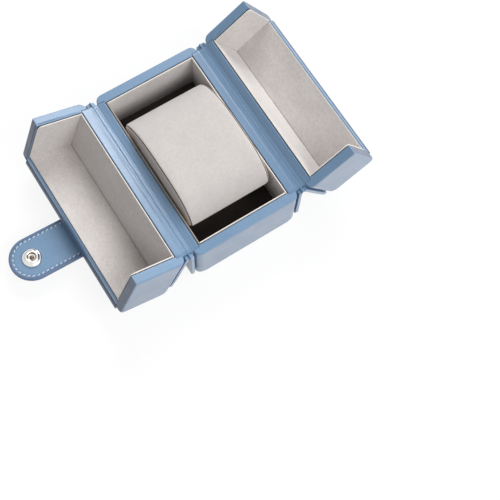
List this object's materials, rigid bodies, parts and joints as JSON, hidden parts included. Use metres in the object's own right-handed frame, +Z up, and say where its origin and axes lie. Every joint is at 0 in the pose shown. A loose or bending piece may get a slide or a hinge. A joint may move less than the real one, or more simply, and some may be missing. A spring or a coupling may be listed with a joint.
{
  "type": "watch travel case",
  "caption": "Leather-covered travel case for one watch: a base, two door lids hinged along its long sides, a snap strap and a suede cushion, shown open.",
  "frame": {"origin": "middle of the underside of the base, on the surface that the case stands on", "axes": "+X towards the lid with the stud, +Y along the hinges, +Z up"},
  "size_m": [0.2004, 0.1084, 0.0512],
  "materials": {
    "leather": "smooth blue leather over boards, semi-gloss",
    "cover": "smooth blue leather wrap, semi-gloss, stitched near its edges",
    "lining": "light grey suede over thin board",
    "cushion": "light grey suede over foam",
    "foam": "soft foam, out of sight",
    "snap_metal": "polished nickel"
  },
  "bodies": {
    "base": {"base_shell": "leather", "base_cover": "cover", "base_lining_left": "lining", "base_lining_right": "lining", "base_lining_front": "lining", "base_lining_back": "lining", "base_lining_floor": "lining", "left_hinge_leather": "leather", "right_hinge_leather": "leather"},
    "left_lid": {"left_lid_shell": "leather", "left_lid_cover": "cover", "left_lid_hinge_leaf": "leather", "left_lid_lining_side": "lining", "left_lid_lining_top": "lining", "left_lid_lining_front": "lining", "left_lid_lining_back": "lining", "strap_anchor": "leather"},
    "right_lid": {"right_lid_shell": "leather", "right_lid_cover": "cover", "right_lid_hinge_leaf": "leather", "right_lid_lining_side": "lining", "right_lid_lining_top": "lining", "right_lid_lining_front": "lining", "right_lid_lining_back": "lining", "snap_stud": "snap_metal", "snap_stud_rivet": "snap_metal"},
    "strap": {"strap_outer_leather": "leather", "strap_inner_leather": "leather", "snap_socket": "snap_metal", "snap_socket_rivet": "snap_metal"},
    "cushion": {"cushion_core": "foam", "cushion_band": "cushion", "cushion_side_left": "cushion", "cushion_side_right": "cushion"}
  },
  "joints": [
    {"name": "left_lid_hinge", "type": "hinge", "parent": "base", "child": "left_lid", "pos_m": [-0.03515, 0, 0.033], "axis": [0, 1, 0], "range_deg": [-2, 158.4]},
    {"name": "right_lid_hinge", "type": "hinge", "parent": "base", "child": "right_lid", "pos_m": [0.03515, 0, 0.033], "axis": [0, -1, 0], "range_deg": [-12.4, 148]},
    {"name": "strap_flex", "type": "hinge", "parent": "left_lid", "child": "strap", "pos_m": [-0.0644, 0, 0.00436], "axis": [0, 1, 0], "range_deg": [-4.8, 12.44]},
    {"name": "cushion_lift", "type": "slide", "parent": "base", "child": "cushion", "axis": [0, 0, -1], "range_m": [-0.016, 0]}
  ]
}
